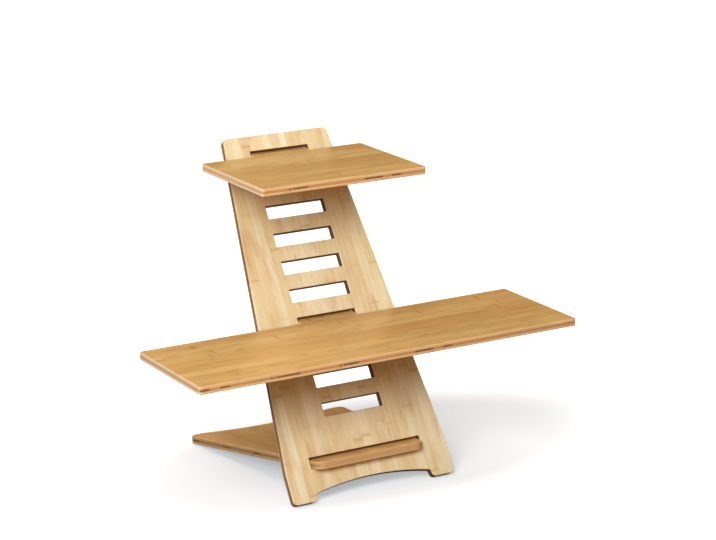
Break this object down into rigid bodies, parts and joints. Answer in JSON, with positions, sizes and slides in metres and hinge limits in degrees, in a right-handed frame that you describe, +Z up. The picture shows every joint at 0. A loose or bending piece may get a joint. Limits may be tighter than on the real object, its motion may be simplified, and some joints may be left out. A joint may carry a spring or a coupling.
{
  "type": "tabletop lectern",
  "caption": "Leaning slotted bamboo stand with a floor brace and two level shelves whose tongues wedge in the slots, a wide low one and a narrow high one.",
  "frame": {"origin": "on the floor, midway between left and right and midway between the front edge of the lower shelf and the heels of the brace", "axes": "+X to the user's right along the shelves, +Y away from the user towards the brace's heels, +Z up"},
  "size_m": [0.8, 0.496, 0.6147],
  "materials": {
    "stand_face": "pale honey bamboo strips running up the slope, clear satin varnish",
    "stand_core": "cross-laid bamboo core, end grain darker at the cut edges, satin varnish",
    "brace_face": "honey bamboo strips, clear satin varnish",
    "brace_core": "cross-laid bamboo core, end grain darker at the cut edges, satin varnish",
    "shelf_face": "honey bamboo strips running the long way, clear satin varnish",
    "shelf_core": "cross-laid bamboo core, end grain darker at the cut edges, satin varnish"
  },
  "bodies": {
    "stand": {"stand_back_ply": "stand_face", "stand_core_ply": "stand_core", "stand_front_ply": "stand_face"},
    "brace": {"brace_bottom_ply": "brace_face", "brace_core_ply": "brace_core", "brace_top_ply": "brace_face"},
    "lower_shelf": {"lower_shelf_bottom_ply": "shelf_face", "lower_shelf_core_ply": "shelf_core", "lower_shelf_top_ply": "shelf_face"},
    "upper_shelf": {"upper_shelf_bottom_ply": "shelf_face", "upper_shelf_core_ply": "shelf_core", "upper_shelf_top_ply": "shelf_face"}
  },
  "joints": [
    {"name": "brace_slide", "type": "slide", "parent": "stand", "child": "brace", "axis": [0, 0.9892, -0.1464], "range_m": [0, 0.045]},
    {"name": "lower_shelf_slide", "type": "slide", "parent": "stand", "child": "lower_shelf", "axis": [0, -1, 0], "range_m": [0, 0.055]},
    {"name": "upper_shelf_slide", "type": "slide", "parent": "stand", "child": "upper_shelf", "axis": [0, -1, 0], "range_m": [0, 0.055]}
  ]
}
